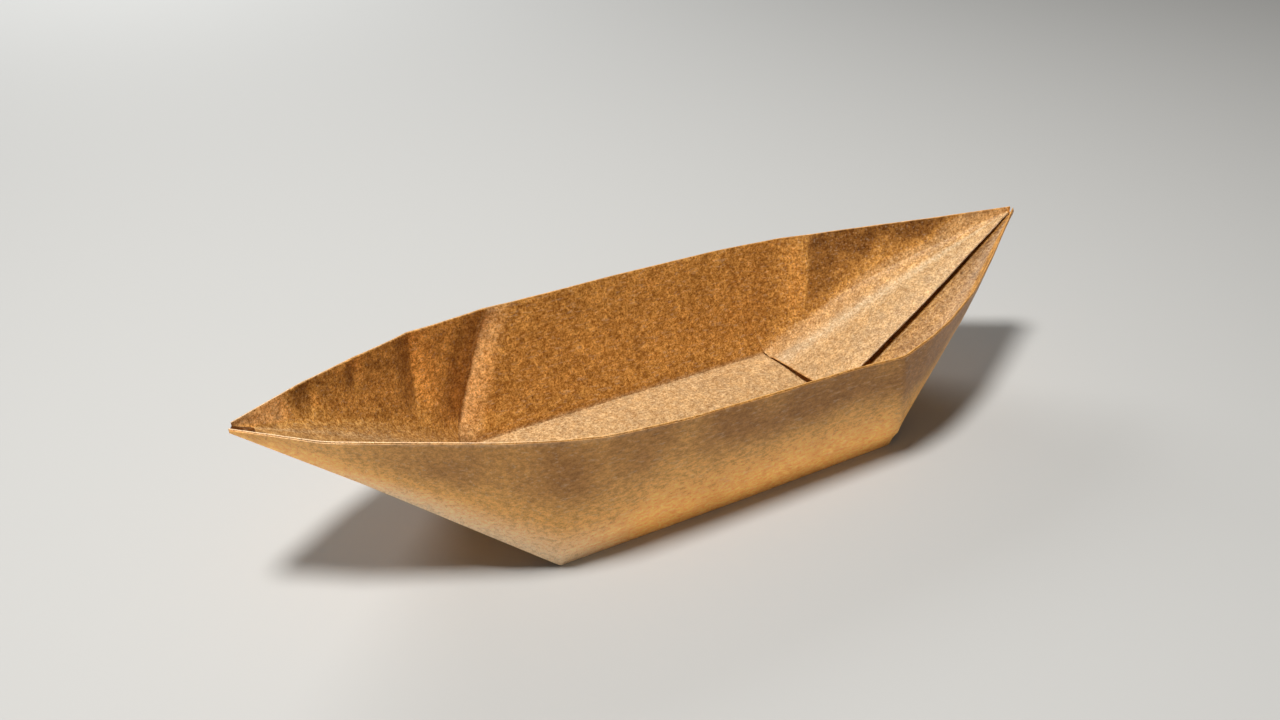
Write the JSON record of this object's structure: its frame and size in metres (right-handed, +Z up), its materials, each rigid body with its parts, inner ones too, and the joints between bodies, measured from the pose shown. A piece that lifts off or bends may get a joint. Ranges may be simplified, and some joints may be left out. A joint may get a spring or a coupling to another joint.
{
  "type": "folded paper boat",
  "caption": "Open boat folded from one square of brown kraft paper, with a flat bottom, leaning sides and raised pointed ends.",
  "frame": {"origin": "middle of the flat bottom's underside, on the surface that the boat stands on", "axes": "+X from the stern's tip to the bow's tip, +Y to port, +Z up out of the boat"},
  "size_m": [0.1372, 0.0448, 0.0283],
  "materials": {
    "kraft_paper": "matte"
  },
  "bodies": {
    "root": {"folded_sheet": "kraft_paper"}
  },
  "joints": []
}
